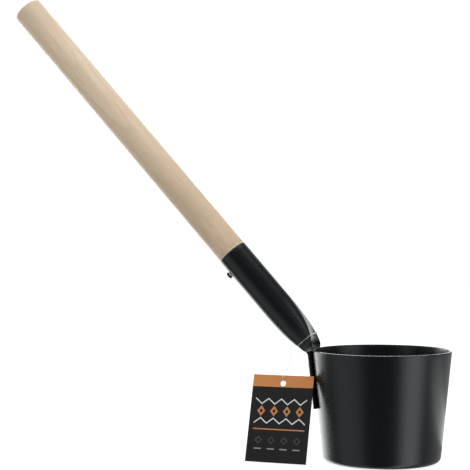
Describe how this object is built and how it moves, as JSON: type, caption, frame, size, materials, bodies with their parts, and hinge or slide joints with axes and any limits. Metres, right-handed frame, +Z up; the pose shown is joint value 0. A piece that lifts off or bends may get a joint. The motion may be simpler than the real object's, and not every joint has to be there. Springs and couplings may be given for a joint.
{
  "type": "sauna ladle",
  "caption": "Long-handled sauna ladle: a tapered black metal cup on a socket tube pressed flat at its neck, a round pale wooden handle, and a card tag hanging by a thin clear loop.",
  "frame": {"origin": "middle of the cup's flat base", "axes": "+Z up out of the cup, -X towards the handle, +Y across"},
  "size_m": [0.3782, 0.1146, 0.3903],
  "materials": {
    "coated_aluminium": "black satin coat with a very fine speckle",
    "pale_wood": "sanded and oiled pale hardwood, fine lengthwise grain",
    "black_steel": "black satin screw",
    "printed_card": "black satin print with a copper-coloured band",
    "clear_nylon": "clear and glossy"
  },
  "bodies": {
    "ladle": {"bowl": "coated_aluminium", "socket_tube": "coated_aluminium", "rivet_upper": "coated_aluminium", "rivet_lower": "coated_aluminium", "wood_handle": "pale_wood", "handle_screw": "black_steel"},
    "loop": {"tag_loop": "clear_nylon"},
    "tag": {"tag_card": "printed_card"}
  },
  "joints": [
    {"name": "loop_swing", "type": "hinge", "parent": "ladle", "child": "loop", "pos_m": [-0.05597, 0, 0.10312], "axis": [0, 1, 0], "range_deg": [0, 30]},
    {"name": "tag_turn", "type": "hinge", "parent": "loop", "child": "tag", "pos_m": [-0.07791, -0.01934, 0.06477], "axis": [0.1044, 0.9453, -0.309], "range_deg": [-1, 45]}
  ]
}
